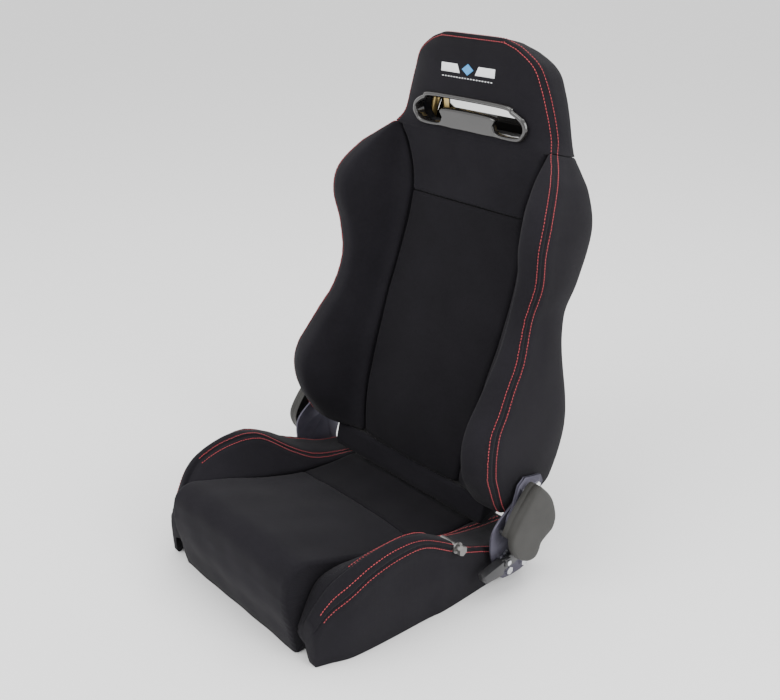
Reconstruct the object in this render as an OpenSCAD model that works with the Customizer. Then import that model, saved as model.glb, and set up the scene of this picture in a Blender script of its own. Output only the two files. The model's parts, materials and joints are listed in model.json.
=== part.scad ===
// Reclining sport seat: fabric bucket on a steel frame, with a lever-locked backrest.
// Origin: centre of the slider bolt pattern, on the underside. +X is the occupant's left,
// -Y is the way the occupant faces, +Z is up.

/* [Backrest] */
// Backward lean of the backrest from vertical, degrees
recline = 14; // [8:1:20]
// Height of the recliner axis above the underside
hinge_z = 125; // [120:1:130]
// Distance of the recliner axis behind the bolt pattern's centre
hinge_y = 85; // [82:1:88]
// Half of the backrest's width at the lumbar wings, at the stitched seam
wing_half_w = 256; // [250:1:256]
// How far the side panel swells past its seam
side_swell = 2; // [0:0.5:2]
// Thickness of the space kept for the steel frame behind the foam
frame_gap = 34; // [32:1:36]

/* [Cushion] */
// Half of the seat's width at the thigh bolsters
bolster_half_w = 244; // [236:1:245]
// Half of the width of the centre cushion between the bolsters
pad_half_w = 160; // [150:1:160]
// Height of the hollow under the foam
foam_bottom = 46; // [45:1:46]

/* [Base frame] */
// Side-to-side distance between slider bolts
bolt_pitch_x = 380; // [370:1:380]
// Front-to-back distance between slider bolts
bolt_pitch_y = 300; // [280:5:300]
// Radius of the slider bolt holes (M8 clearance)
bolt_hole_r = 4.25; // [4:0.05:4.5]
// Thickness of the pressed steel rails
rail_t = 3; // [2:0.5:3]
// Outer radius of the cross tubes
cross_tube_r = 12; // [10:1:12.5]

/* [Recliner] */
// Inner face of the fixed recliner plate, from the middle of the seat
plate_x = 259.5; // [259.5:0.1:260]
// Thickness of the fixed recliner plate
plate_t = 4; // [3:0.5:4]
// Thickness of the toothed arm and the pawl
arm_t = 4.5; // [4:0.5:4.5]
// Radius over the tips of the lock teeth
tooth_tip_r = 40; // [38:1:40]
// Height of a lock tooth
tooth_h = 3; // [2:0.5:3]
// Angle between two lock teeth, degrees
tooth_pitch = 5; // [5:1:5]
// Radius of the pivot stud
pivot_r = 6; // [5:0.5:6]
// Radius of the release shaft
shaft_r = 4.5; // [4:0.5:4.5]
// Radial clearance of the running fits
fit_gap = 0.05; // [0.02:0.01:0.1]

/* [Headrest slot] */
// Distance up the back from the recliner axis to the middle of the harness slot
slot_s = 628; // [626:1:630]
// How far the face of the headrest leans forward of the backrest, degrees
slot_tilt = 21; // [18:1:22]
// Depth of the collar behind each slot bezel
collar_d = 18; // [14:1:18]

/* [Hidden] */

$fn = 48;
fabric_col = [0.10, 0.10, 0.11];
insert_col = [0.07, 0.07, 0.08];
steel_col = [0.16, 0.16, 0.18];
zinc_col = [0.80, 0.70, 0.38];
plastic_col = [0.20, 0.20, 0.20];
gloss_col = [0.05, 0.05, 0.05];
bright_col = [0.75, 0.76, 0.78];

// ---- Profiles: each is a short list of [station, value] chosen by hand ----

// Backrest, measured along s (up the back from the recliner axis) and n (forward of it).
// Half width at the stitched seam
seam_x = [[0, 248], [57, 253], [118, wing_half_w], [181, 250], [225, 243], [328, 229], [392, 241],
    [446, 249], [494, 247], [544, 225], [569, 205], [600, 180], [655, 160], [689, 147], [721, 130],
    [743, 97], [752, 70]];
// Forward position of the stitched seam
seam_n = [[0, 20], [20, 40], [57, 67], [80, 82], [118, 94], [153, 94], [181, 83], [225, 67],
    [267, 50], [328, 45], [392, 53], [446, 74], [494, 74], [544, 50], [569, 30], [600, 10],
    [617, 6], [655, 14], [689, 24], [721, 37], [752, 50]];
// Half width and forward position of the wing's crest
crest_x = [[0, 205], [118, 211], [225, 205], [328, 200], [446, 215], [494, 212], [544, 196], [592, 178]];
crest_n = [[0, 34], [20, 56], [57, 92], [90, 110], [118, 117], [150, 113], [185, 98], [225, 80],
    [267, 61], [328, 53], [392, 62], [446, 85], [494, 85], [544, 59], [592, 18]];
// Half width and forward position of the seam between the centre panel and the wings
inner_x = [[0, 124], [120, 134], [269, 141], [385, 139], [478, 131], [520, 138], [560, 153], [592, 170]];
inner_n = [[0, 7], [60, 13], [130, 13], [269, -2], [385, -14], [478, -8], [540, 0], [601, 14],
    [655, 35], [700, 45], [752, 51]];
// Rear face
rear_n = [[0, -100], [50, -106], [127, -103], [203, -85], [277, -68], [347, -61], [450, -58],
    [520, -56], [620, -48], [690, -40], [730, -28], [752, -6]];
// Depth left for the frame behind the foam; it closes towards the top of the head
hollow = [[0, frame_gap], [700, frame_gap], [730, 16], [742, 5], [752, 3.2]];

// Cushion, measured along y
pad_top = [[-327, 106], [-323, 134], [-312, 149], [-296, 155], [-281, 154], [-248, 143], [-208, 129], [-125, 98],
    [-34, 75], [21, 68], [74, 67], [110, 60], [148, 52]];
bolster_edge_z = [[-306, 56], [-290, 92], [-270, 120], [-240, 128], [-208, 124], [-125, 97],
    [-34, 75], [21, 68], [74, 66], [148, 51]];
bolster_in_x = [[-306, 178], [-270, 196], [-234, 208], [-107, 210], [-50, 192], [0, 178], [148, 176]];
bolster_in_z = [[-306, 74], [-290, 104], [-270, 133], [-234, 156], [-170, 166], [-107, 156],
    [-50, 112], [0, 84], [60, 68], [148, 52]];
crest_z = [[-306, 84], [-290, 112], [-270, 141], [-237, 162], [-190, 173], [-150, 172], [-106, 159],
    [-70, 140], [-38, 117], [-3, 96], [60, 70], [148, 54]];
bolster_seam_z = [[-306, 70], [-288, 98], [-250, 128], [-212, 147], [-153, 157], [-110, 152],
    [-37, 110], [11, 88], [60, 64], [148, 48]];
base_half_w = [[-306, 203], [-285, 211], [-256, 224], [-220, 230], [-160, 235], [-100, 240],
    [-69, bolster_half_w], [93, bolster_half_w], [148, 238]];

// Hand-chosen outlines in the side view, [y, z]
cover_outline = [[90, 196], [110, 183], [130, 157], [142, 121], [137, 98], [120, 88], [106, 79],
    [101, 65], [91, 55], [72, 58], [49, 74], [33, 97], [29, 121], [40, 144], [63, 172]];
plate_outline = [[85, 163], [60, 152], [37, 137], [22, 120], [18, 97], [22, 69], [36, 42], [54, 14],
    [116, 14], [119, 55], [130, 86], [134, 102], [119, 130], [110, 152]];
lever_outline = [[-14, 60], [-8, 44], [30, 42], [66, 46], [80, 50], [80, 66], [66, 69], [30, 67], [2, 63]];
// Half outlines in the plane of the headrest slot, [x, height], from the top down
bezel_half = [[78, 29], [104, 21], [123, 10], [130, -4], [127, -17], [113, -29]];
opening_half = [[74, 21], [98, 14], [115, 5], [121, -4], [118, -15], [106, -22], [68, -22], [59, -10], [55, 4]];
rear_opening_half = [[72, 21], [98, 14], [115, 5], [121, -4], [118, -15], [106, -21]];

shaft_at = [48, 58];          // release shaft axis, [y, z]
contact_dir = 270;            // direction from the recliner axis to the pawl's teeth, degrees
pawl_clear = 0.6;             // gap left between the pawl's teeth and the sector's tips
stud_at = [-48, 120];          // buckle stud axis, [y, z]
pivot_at = [hinge_y, hinge_z];
plate_bolt_at = [[66, 26], [104, 26]];
arm_bolt_at = [[50, 8], [58, -22]];   // arm spacers, [s, n]
cover_post_at = [40, 117];      // second post of the recliner cover, [y, z]
arm_x = plate_x + plate_t + 0.5;
gusset_x = 200;
rail_web_x = 208;
rail_front = -262;
rail_rear = 160;
rail_h = 42;
skin = 2.5;
tube_r = 10;
tube_mid = 16;                // tube centre, forward of the rear face
cross_tube_at = [[122, 179.4], [430, 174.4]];   // backrest cross tubes: [height s, half length]
cross_rod_r = 8;
cover_out_x = 300;
cover_in_x = 276;
slot_rear_s = 655;            // where the slot leaves the back of the head, along s
slot_rear_tilt = 7;           // lean of the back of the head there, degrees

// ---- Functions ----

// Index of the interval of keys that holds t
function span(keys, t, i = 0) = i >= len(keys) - 2 || t < keys[i + 1][0] ? i : span(keys, t, i + 1);
// Slope of the curve at key i, from its neighbours
function slope(keys, i) = let(a = keys[max(0, i - 1)], b = keys[min(len(keys) - 1, i + 1)])
    (b[1] - a[1]) / (b[0] - a[0]);
// Smooth value of a profile at t (cubic between keys)
function at(keys, t) = let(
    c = max(keys[0][0], min(keys[len(keys) - 1][0], t)),
    i = span(keys, c),
    a = keys[i],
    b = keys[i + 1],
    h = b[0] - a[0],
    u = (c - a[0]) / h)
    a[1] * (1 + 2 * u) * (1 - u) ^ 2 + b[1] * u ^ 2 * (3 - 2 * u)
    + h * slope(keys, i) * u * (1 - u) ^ 2 - h * slope(keys, i + 1) * u ^ 2 * (1 - u);
// Evenly spaced stations from a to b
function stations(a, b, count) = [for (i = [0:count]) a + (b - a) * i / count];
// Closed smooth outline through a few points
function smooth_loop(p, steps = 4) = let(n = len(p)) [for (i = [0:n - 1], k = [0:steps - 1])
    let(u = k / steps, a = p[(i + n - 1) % n], b = p[i], c = p[(i + 1) % n], d = p[(i + 2) % n])
    0.5 * (2 * b + (c - a) * u + (2 * a - 5 * b + 4 * c - d) * u ^ 2 + (3 * b - a - 3 * c + d) * u ^ 3)];
// Outline made of a right half and its mirror image
function both_halves(half) = concat(half, [for (i = [len(half) - 1:-1:0]) [-half[i][0], half[i][1]]]);
// Outline drawn in towards its own middle
function drawn_in(p, middle, k) = [for (q = p) middle + (q - middle) * k];
function polar(r, a) = [r * cos(a), r * sin(a)];

// ---- Building blocks ----

// Closed solid through a stack of rings that all have the same number of points. An end that isn't
// convex is divided by caps into outlines that can each be seen whole from their first point
module loft(rings, caps = []) {
    n = len(rings[0]);
    m = len(rings);
    ends = len(caps) > 0 ? caps : [[for (i = [0:n - 1]) i]];
    first = [for (c = ends) [for (i = [0:len(c) - 1]) c[(len(c) - i) % len(c)]]];
    last = [for (c = ends) [for (i = c) (m - 1) * n + i]];
    sides = [for (j = [0:m - 2], i = [0:n - 1]) let(a = j * n + i, b = j * n + (i + 1) % n)
        each [[a, b, b + n], [a, b + n, a + n]]];
    polyhedron([for (r = rings) each r], concat(first, sides, last));
}
// Moves children from the backrest's own frame (x, rearward, up the back) to the seat's
module on_back() {
    translate([0, hinge_y, hinge_z]) rotate([-recline, 0, 0]) children();
}
// Moves children to the plane of the headrest slot: x across, z up the face, y into the head
module on_slot() {
    on_back() translate([0, -at(inner_n, slot_s), slot_s]) rotate([slot_tilt, 0, 0]) children();
}
// A side-view outline [y, z] given a thickness along x
module side_plate(x0, thick) {
    translate([x0, 0, 0]) rotate([90, 0, 90]) linear_extrude(thick) children();
}
// A round bar along x
module cross_bar(x0, x1, yz, r) {
    translate([x0, yz[0], yz[1]]) rotate([0, 90, 0]) cylinder(h = x1 - x0, r = r);
}
// A face outline [x, height] given a depth along y
module face_plate(y0, depth) {
    translate([0, y0 + depth, 0]) rotate([90, 0, 0]) linear_extrude(depth) children();
}
// A round rod between two points
module rod(a, b, r) {
    d = b - a;
    translate(a) rotate([0, atan2(norm([d[0], d[1]]), d[2]), atan2(d[1], d[0])]) cylinder(h = norm(d), r = r);
}
// A bent tube: rods with a ball at each bend
module bent_tube(points, r) {
    for (i = [0:len(points) - 2]) rod(points[i], points[i + 1], r);
    for (i = [1:len(points) - 2]) translate(points[i]) sphere(r = r + 0.4);
}
// A flat sinuous spring of square wire: legs across, joined by round bends, along +y
module sinuous(bends, leg, bend_r, wire) {
    linear_extrude(wire) for (i = [0:bends - 1]) {
        translate([-leg / 2, 2 * bend_r * i - wire / 2]) square([leg, wire]);
        if (i < bends - 1) translate([(i % 2 == 0 ? 1 : -1) * leg / 2, 2 * bend_r * i + bend_r])
            rotate(i % 2 == 0 ? -90 : 90) intersection() {
                difference() {
                    circle(r = bend_r + wire / 2);
                    circle(r = bend_r - wire / 2);
                }
                translate([-bend_r - wire, 0]) square([2 * (bend_r + wire), bend_r + wire]);
            }
    }
}
module mirror_x() {
    mirror([1, 0, 0]) children();
}

// ---- Base frame ----

module side_rail() {
    color(steel_col) difference() {
        union() {
            translate([172, rail_front, 0]) cube([rail_web_x - 172, rail_rear - rail_front, rail_t]);
            translate([rail_web_x - rail_t, rail_front, 0]) cube([rail_t, rail_rear - rail_front, rail_h]);
            translate([196, rail_front, rail_h - rail_t])
                cube([rail_web_x - 196, rail_rear - rail_front, rail_t]);
        }
        for (y = [-1, 1] * bolt_pitch_y / 2) translate([bolt_pitch_x / 2, y, -1])
            cylinder(h = rail_t + 2, r = bolt_hole_r);
        for (p = plate_bolt_at) cross_bar(rail_web_x - 10, rail_web_x + 5, p, 4.1);
    }
}
module side_rail_left() {
    side_rail();
}
module side_rail_right() {
    mirror_x() side_rail();
}
module base_cross_tube(yz) {
    half = rail_web_x - rail_t;
    color(steel_col) difference() {
        cross_bar(-half, half, yz, cross_tube_r);
        cross_bar(-half - 1, half + 1, yz, cross_tube_r - 2);
    }
}
module front_cross_tube() {
    base_cross_tube([-236, 27]);
}
module rear_cross_tube() {
    base_cross_tube([122, 27]);
}
module cushion_springs() {
    color(bright_col) for (x = [-108, -36, 36, 108]) translate([x, -232, 39.1])
        sinuous(18, 34, 10.4, 3.2);
}
module slider_weld_nuts() {
    color(bright_col) for (x = [-1, 1] * bolt_pitch_x / 2, y = [-1, 1] * bolt_pitch_y / 2)
        translate([x, y, rail_t]) difference() {
            cylinder(h = 7, r = 7.5, $fn = 6);
            translate([0, 0, -1]) cylinder(h = 9, r = bolt_hole_r);
        }
}

// ---- Cushion ----

// Side view of the centre pad between y0 and y1, crowned by c at the middle of its width
function pad_ring(x, y0, y1, front) = let(
    c = 6 * (1 - (x / pad_half_w) ^ 2),
    top = [for (y = stations(y0, y1, 14)) [x, y, at(pad_top, y) + c]],
    under = [[x, y1, foam_bottom], [x, y0 + (front ? 41 : 0), foam_bottom]],
    nose = [[x, y0 + 41, 0], [x, y0 + 15, 0], [x, y0 + 9 - c / 2, 50], [x, y0 + 2 - c / 2, 80]])
    concat(top, under, front ? nose : []);
module pad_solid(y0, y1, front) {
    loft([for (x = stations(-pad_half_w + 0.5, pad_half_w - 0.5, 12)) pad_ring(x, y0, y1, front)]);
}
module shaft_tunnel() {
    cross_bar(-300, 300, shaft_at, shaft_r + 2.5);
}
module cushion_front_pad() {
    color(fabric_col) pad_solid(-327, -44.4, true);
}
module cushion_rear_pad() {
    color(fabric_col) difference() {
        pad_solid(-43.6, 148, false);
        shaft_tunnel();
    }
}
module rear_skirt() {
    color(fabric_col) translate([-170, 148.4, 0]) cube([340, 2, 50]);
}
function bolster_ring(y) = let(
    inner = pad_half_w + 0.3,
    edge = at(bolster_edge_z, y),
    in_z = at(bolster_in_z, y),
    cz = at(crest_z, y),
    sz = at(bolster_seam_z, y),
    bx = at(base_half_w, y),
    wall = bx - 12,
    in_x = at(bolster_in_x, y),
    sx = bx + min(4, 0.04 * sz))
    [for (p = [[inner, edge], [0.6 * inner + 0.4 * in_x, 0.55 * edge + 0.45 * in_z], [in_x, in_z],
        [0.5 * in_x + 0.5 * (sx - 14), 0.25 * in_z + 0.75 * cz], [sx - 14, cz],
        [sx - 5, 0.65 * cz + 0.35 * sz], [sx, sz], [bx + 2, 0.5 * sz], [bx, 0], [wall, 0],
        [wall, foam_bottom], [inner, foam_bottom]]) [p[0], y, p[1]]];
module thigh_bolster() {
    color(fabric_col) difference() {
        loft([for (y = stations(-306, 148, 34)) bolster_ring(y)], [[10, 11, each [0:9]]]);
        shaft_tunnel();
        cross_bar(210, 260, stud_at, 6.1);
        for (p = plate_bolt_at) cross_bar(rail_web_x + 5, plate_x, p, 11);
    }
}
module thigh_bolster_left() {
    thigh_bolster();
}
module thigh_bolster_right() {
    mirror_x() thigh_bolster();
}
module buckle_stud() {
    color(bright_col) {
        cross_bar(214, 251, stud_at, 6);
        cross_bar(251, 257, stud_at, 5);
        translate([257, stud_at[0], stud_at[1]]) rotate([0, 90, 0]) cylinder(h = 6, r = 9, $fn = 6);
    }
}
module buckle_stud_collar() {
    color(bright_col) difference() {
        cross_bar(248.4, 251, stud_at, 10);
        cross_bar(247, 252, stud_at, 6.02);
    }
}

// ---- Recliner, drawn for the +X side ----

module recliner_plate() {
    color(steel_col) difference() {
        side_plate(plate_x, plate_t) polygon(smooth_loop(plate_outline, 3));
        cross_bar(plate_x - 1, plate_x + plate_t + 1, pivot_at, pivot_r);
        cross_bar(plate_x - 1, plate_x + plate_t + 1, shaft_at, shaft_r + fit_gap);
        for (p = plate_bolt_at) cross_bar(plate_x - 1, plate_x + plate_t + 1, p, 4.1);
    }
}
module recliner_plate_left() {
    recliner_plate();
}
module recliner_plate_right() {
    mirror_x() recliner_plate();
}
module plate_spacers() {
    color(steel_col) for (side = [0, 1], p = plate_bolt_at) mirror([side, 0, 0]) difference() {
        cross_bar(rail_web_x, plate_x, p, 9);
        cross_bar(rail_web_x - 1, plate_x + 1, p, 4.1);
    }
}
module plate_bolts() {
    color(bright_col) for (side = [0, 1], p = plate_bolt_at) mirror([side, 0, 0]) {
        cross_bar(rail_web_x - 12, plate_x + plate_t, p, 4);
        translate([plate_x + plate_t, p[0], p[1]]) rotate([0, 90, 0]) cylinder(h = 5, r = 7.5, $fn = 6);
    }
}
module pivot_stud() {
    color(bright_col) cross_bar(plate_x, plate_x + 15, pivot_at, pivot_r);
}
module pivot_stud_left() {
    pivot_stud();
}
module pivot_stud_right() {
    mirror_x() pivot_stud();
}
module pivot_nuts() {
    color(bright_col) for (side = [0, 1]) mirror([side, 0, 0]) difference() {
        translate([arm_x + arm_t + 0.5, hinge_y, hinge_z]) rotate([0, 90, 0]) cylinder(h = 4.5, r = 11, $fn = 6);
        cross_bar(arm_x, arm_x + 20, pivot_at, pivot_r);
    }
}
// Flat spiral spring of three turns round the pivot
module return_spring() {
    turns = 2.5;
    inner = 15;
    pitch = 5;
    wire = 2.2;
    steps = 60;
    spiral = [for (i = [0:steps]) let(a = 360 * turns * i / steps) polar(inner + pitch * a / 360, a)];
    back = [for (i = [steps:-1:0]) let(a = 360 * turns * i / steps) polar(inner + wire + pitch * a / 360, a)];
    color(steel_col) translate([0, hinge_y, hinge_z]) side_plate(arm_x + arm_t + 0.8, 5)
        polygon(concat(spiral, back));
}
module return_spring_left() {
    return_spring();
}
module return_spring_right() {
    mirror_x() return_spring();
}
// Torsion spring of four turns round the release shaft, that pulls the lever down
module lever_return_spring() {
    wire_r = 1;
    color(bright_col) for (i = [0:3]) translate([250.2 + 2.3 * i, shaft_at[0], shaft_at[1]]) rotate([0, 90, 0])
        rotate_extrude() translate([shaft_r + 2.4, 0]) circle(r = wire_r);
}
// Kidney-shaped shell: a face, and a rim that is open at the lower front for the lever
module recliner_cover(lever_gap) {
    loop = smooth_loop(cover_outline, 4);
    middle = [82, 122];
    color(plastic_col) difference() {
        union() {
            side_plate(cover_in_x, cover_out_x - cover_in_x - 3) polygon(loop);
            side_plate(cover_out_x - 3, 3) polygon(drawn_in(loop, middle, 0.95));
        }
        side_plate(cover_in_x - 1, cover_out_x - cover_in_x - 3) polygon(drawn_in(loop, middle, 0.92));
        if (lever_gap) side_plate(cover_in_x - 1, 15) polygon([[10, 130], [60, 105], [108, 60], [80, 20], [10, 60]]);
    }
}
module recliner_cover_left() {
    recliner_cover(true);
}
module recliner_cover_right() {
    mirror_x() recliner_cover(false);
}
module cover_posts() {
    color(steel_col) for (side = [0, 1]) mirror([side, 0, 0]) {
        cross_bar(plate_x + 15, cover_out_x - 4, pivot_at, 4);
        cross_bar(plate_x + plate_t, cover_out_x - 4, cover_post_at, 4);
    }
}

// ---- Release lever, shaft and pawls ----

module recline_lever() {
    color(plastic_col) difference() {
        union() {
            intersection() {
                side_plate(266, 15) polygon(lever_outline);
                translate([260, -40, 0]) cube([30, 74, 100]);
            }
            side_plate(270.5, 5) polygon(lever_outline);
            cross_bar(270.5, 279, shaft_at, 9);
        }
        cross_bar(262, 290, shaft_at, shaft_r);
    }
}
module release_shaft() {
    color(bright_col) cross_bar(-arm_x - arm_t - 2, 281, shaft_at, shaft_r);
}
// Pawl: an arm from the release shaft to the teeth that face the sector
module lock_pawl() {
    tip = tooth_tip_r + pawl_clear;
    root = tip + tooth_h;
    teeth = [for (i = [-2:2]) each [pivot_at + polar(root, contact_dir + tooth_pitch * (i - 0.5)),
        pivot_at + polar(i == 2 ? root : tip, contact_dir + tooth_pitch * i)]];
    color(bright_col) difference() {
        union() {
            side_plate(arm_x, arm_t) polygon(concat(teeth, [[94, 75], [84, 70], [54, 52], [43, 64], [70, 80]]));
            cross_bar(arm_x, arm_x + arm_t, shaft_at, 9);
        }
        cross_bar(arm_x - 1, arm_x + arm_t + 1, shaft_at, shaft_r);
    }
}
module lock_pawl_left() {
    lock_pawl();
}
module lock_pawl_right() {
    mirror_x() lock_pawl();
}

// ---- Backrest frame ----

// A point on the backrest's frame line: x across, s up the back
function frame_point(x, s) = [x, -(at(rear_n, s) + tube_mid), s];
module back_frame_hoop() {
    leg = [[190, 52], [190, 130], [190, 280], [188, 420], [170, 520], [144, 590], [137, 650], [100, 690]];
    right_half = [for (p = leg) frame_point(p[0], p[1])];
    left_half = [for (i = [len(leg) - 1:-1:0]) frame_point(-leg[i][0], leg[i][1])];
    color(zinc_col) on_back() {
        bent_tube(concat(right_half, left_half), tube_r);
        for (side = [0, 1]) mirror([side, 0, 0]) difference() {
            side_plate(gusset_x - 1, 5) polygon([[-20, 36], [62, 36], [99, 56], [99, 84], [-20, 74]]);
            for (p = arm_bolt_at) translate([gusset_x - 2, -p[1], p[0]]) rotate([0, 90, 0])
                cylinder(h = 8, r = 4.1);
        }
    }
}
module back_cross_tubes() {
    color(zinc_col) on_back() for (t = cross_tube_at)
        rod(frame_point(-t[1], t[0]), frame_point(t[1], t[0]), cross_rod_r);
}
module lumbar_springs() {
    low = frame_point(0, cross_tube_at[0][0]);
    high = frame_point(0, cross_tube_at[1][0]);
    lean = atan2(low[1] - high[1], high[2] - low[2]);
    bends = 16;
    color(bright_col) on_back() for (x = [-62, 0, 62])
        translate([x, low[1] - cross_rod_r - 0.2, low[2]]) rotate([90 + lean, 0, 0])
            sinuous(bends, 30, norm(high - low) / (2 * (bends - 1)), 3);
}
module harness_guide_rod() {
    color(zinc_col) on_slot() {
        rod([-114, 58, 7], [114, 58, 7], 4);
        for (x = [-110, 110]) translate([x - 2, 50, -19]) cube([4, 12, 23]);
    }
}

// ---- Recliner arms, on the backrest ----

module recliner_arm() {
    first = 216;
    count = 24;
    root = tooth_tip_r - tooth_h;
    sector = [for (i = [0:count - 1]) each [polar(root, first + tooth_pitch * i),
        polar(tooth_tip_r, first + tooth_pitch * (i + 0.5))]];
    ends = [polar(root, first + tooth_pitch * count), polar(root - 2, first + tooth_pitch * count + 20)];
    color(steel_col) difference() {
        union() {
            translate([0, hinge_y, hinge_z]) side_plate(arm_x, arm_t) union() {
                circle(r = root - 2);
                polygon(concat(sector, ends));
            }
            on_back() side_plate(arm_x, arm_t)
                polygon([[-30, 0], [-26, 62], [-14, 76], [28, 76], [38, 64], [33, 0]]);
        }
        cross_bar(arm_x - 1, arm_x + arm_t + 1, pivot_at, pivot_r + fit_gap);
        on_back() for (p = arm_bolt_at) translate([arm_x - 1, -p[1], p[0]]) rotate([0, 90, 0])
            cylinder(h = arm_t + 2, r = 4.1);
    }
}
module recliner_arm_left() {
    recliner_arm();
}
module recliner_arm_right() {
    mirror_x() recliner_arm();
}
module arm_spacers() {
    color(steel_col) on_back() for (side = [0, 1], p = arm_bolt_at) mirror([side, 0, 0])
        translate([gusset_x + 4, -p[1], p[0]]) rotate([0, 90, 0]) difference() {
            cylinder(h = arm_x - gusset_x - 4, r = 8);
            translate([0, 0, -1]) cylinder(h = arm_x, r = 4.1);
        }
}
module arm_bolts() {
    color(bright_col) on_back() for (side = [0, 1], p = arm_bolt_at) mirror([side, 0, 0])
        translate([gusset_x - 8, -p[1], p[0]]) rotate([0, 90, 0]) {
            cylinder(h = arm_x + arm_t - gusset_x + 8, r = 4);
            translate([0, 0, arm_x + arm_t - gusset_x + 8]) cylinder(h = 4, r = 7, $fn = 6);
        }
}

// ---- Backrest foam and covers ----

// Slanted underside that lets the backrest swing over the cushion
module bottom_cut() {
    translate([-400, -7, 0]) rotate([24, 0, 0]) translate([0, 0, -200]) cube([800, 400, 200]);
}
// Wing section at height s, as [x, n] points that run round the foam
function wing_ring(s) = let(
    xi = at(inner_x, s),
    ni = at(inner_n, s),
    xc = at(crest_x, s),
    nc = at(crest_n, s),
    xs = at(seam_x, s),
    ns = at(seam_n, s),
    nr = at(rear_n, s),
    depth = ns - nr,
    back = nr + at(hollow, s),
    wall = xs - 14,
    slope_n = nc - ni)
    [for (p = [[xi, ni], [xi + 0.3 * (xc - xi), ni + 0.22 * slope_n],
        [xi + 0.6 * (xc - xi), ni + 0.62 * slope_n], [xi + 0.85 * (xc - xi), ni + 0.92 * slope_n],
        [xc, nc], [0.55 * xc + 0.45 * xs, nc - 0.1 * (nc - ns)],
        [0.2 * xc + 0.8 * xs, nc - 0.5 * (nc - ns)], [xs, ns],
        [xs + side_swell, ns - 0.3 * depth], [xs + side_swell, ns - 0.6 * depth],
        [xs - 3, nr + 0.14 * depth], [xs - 14, nr + 3], [xs - 32, nr],
        [xs - 32, nr + 4], [wall, nr + 0.2 * depth], [wall, back], [xi, back]]) [p[0], -p[1], s]];
module back_wing() {
    color(fabric_col) on_back() difference() {
        loft([for (s = stations(0, 592, 48)) wing_ring(s)], [[15, 16, each [0:10]], [each [10:15]]]);
        bottom_cut();
        translate([gusset_x - 1.5, -22, -10]) cube([6, 130, 96]);
        for (p = arm_bolt_at) translate([gusset_x - 12, -p[1], p[0]]) rotate([0, 90, 0]) cylinder(h = 90, r = 8.5);
    }
}
module back_wing_left() {
    back_wing();
}
module back_wing_right() {
    mirror_x() back_wing();
}
// Centre panel section: crowned front, flat rear
function centre_ring(s, crown) = let(
    half = at(inner_x, s) - 0.4,
    ni = at(inner_n, s),
    back = at(rear_n, s) + at(hollow, s))
    concat([for (k = stations(1, -1, 8)) [half * k, -(ni + crown * (1 - k * k)), s]],
        [[-half, -back, s], [half, -back, s]]);
module back_insert_pad() {
    color(insert_col) on_back() difference() {
        loft([for (s = stations(0, 477.6, 26)) centre_ring(s, 9)]);
        bottom_cut();
    }
}
// Roll under the backrest that fills the space over the cushion; round about the recliner axis,
// so that it turns clear of the cushion
module back_lower_roll() {
    r = 47;
    half = 196;
    color(fabric_col) difference() {
        cross_bar(-half, half, pivot_at, r);
        on_back() translate([-half - 1, -60, -0.4]) cube([2 * half + 2, 120, 60]);
        on_back() translate([-half - 1, -60, -60]) cube([2 * half + 2, 51, 120]);
    }
}
// Head section above the wings: front, swelling sides, rear lips and the hollow between them
function head_ring(s) = let(
    xs = at(seam_x, s),
    ns = at(seam_n, s),
    ni = at(inner_n, s) + 4,
    nr = at(rear_n, s),
    depth = ns - nr,
    back = nr + at(hollow, s),
    lip = min(4, 0.4 * (back - nr)),
    front = [for (k = stations(1, -1, 10)) [xs * k, ns + (ni - ns) * (1 - abs(k) ^ 5)]],
    side = [[xs + side_swell, ns - 0.4 * depth], [xs - 2, nr + 0.18 * depth], [xs - 12, nr + 0.7 * lip],
        [xs - 28, nr], [xs - 28, nr + lip], [xs - 11, nr + 1.25 * lip],
        [xs - 11, back]],
    other = [for (i = [len(side) - 1:-1:0]) [-side[i][0], side[i][1]]])
    [for (p = concat(front, [for (i = [0:6]) [-side[i][0], side[i][1]]], [for (i = [6:-1:0]) side[i]]))
        [p[0], -p[1], s]];
module upper_back_pad() {
    color(fabric_col) on_back() loft([for (s = stations(478.4, 592, 10)) centre_ring(s, 5)]);
}
module head_pad() {
    color(fabric_col) difference() {
        on_back() loft([for (s = stations(592.4, 752, 22)) head_ring(s)],
            [[18, 24, each [0:11], 17], [23, 24, each [18:22]], [each [12:17], 11]]);
        slot_hole();
    }
}
// Sewn panel that closes the back of the foam
function cover_ring(s) = let(
    half = at(seam_x, s) - 32.5,
    nr = at(rear_n, s))
    [for (p = [[half, nr + skin], [-half, nr + skin], [-half, nr], [0, nr - 2], [half, nr]]) [p[0], -p[1], s]];
module back_rear_cover() {
    color(fabric_col) difference() {
        on_back() loft([for (s = stations(0, 752, 40)) cover_ring(s)]);
        on_back() bottom_cut();
        slot_hole();
    }
}

// ---- Headrest slot ----

// Straight hole through the head for the harness
module slot_hole() {
    on_slot() face_plate(-40, 200) polygon(drawn_in(both_halves(bezel_half), [0, 0], 0.975));
}
// Collar that lines the mouth of the slot
module collar(y0) {
    face_plate(y0, collar_d) difference() {
        polygon(drawn_in(both_halves(bezel_half), [0, 0], 0.97));
        polygon(drawn_in(both_halves(bezel_half), [0, 0], 0.935));
    }
}
module harness_bezel_front() {
    color(gloss_col) on_slot() {
        face_plate(-8.4, 4) difference() {
            polygon(both_halves(bezel_half));
            polygon(both_halves(opening_half));
        }
        collar(-4.4);
    }
}
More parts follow.
